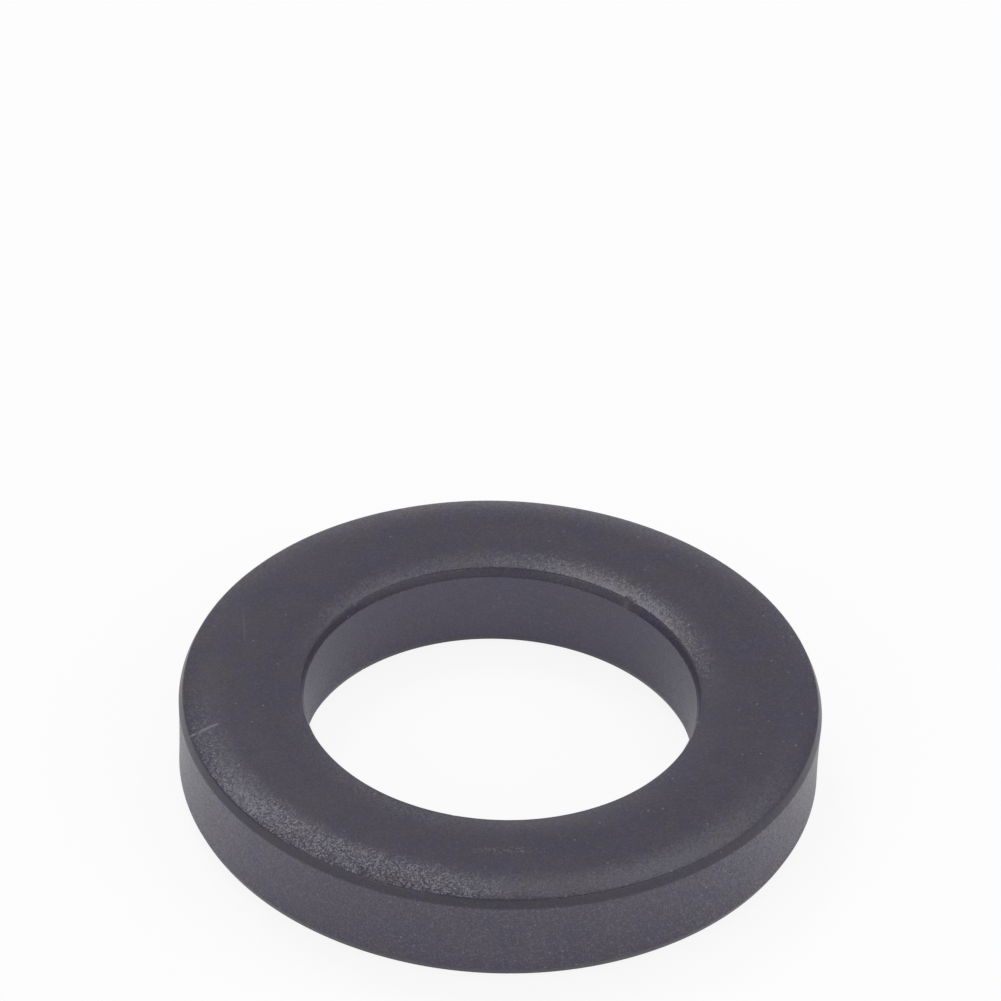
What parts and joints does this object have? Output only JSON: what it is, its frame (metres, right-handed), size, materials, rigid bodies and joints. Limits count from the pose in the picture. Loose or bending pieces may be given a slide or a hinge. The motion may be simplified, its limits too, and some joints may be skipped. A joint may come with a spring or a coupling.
{
  "type": "ferrite toroid core",
  "caption": "Plain dark ferrite ring with bevelled edges and softly crowned faces, a magnetic core for winding a choke, balun or inductor.",
  "frame": {"origin": "centre of the ring: on the bore axis, at mid height", "axes": "+Z along the ring's axis and up as it lies; X and Y are alike, because the ring is the same all the way round"},
  "size_m": [0.061, 0.061, 0.01],
  "materials": {
    "ferrite": "bare sintered ferrite, matt and finely grained"
  },
  "bodies": {
    "root": {"ferrite_ring": "ferrite"}
  },
  "joints": []
}
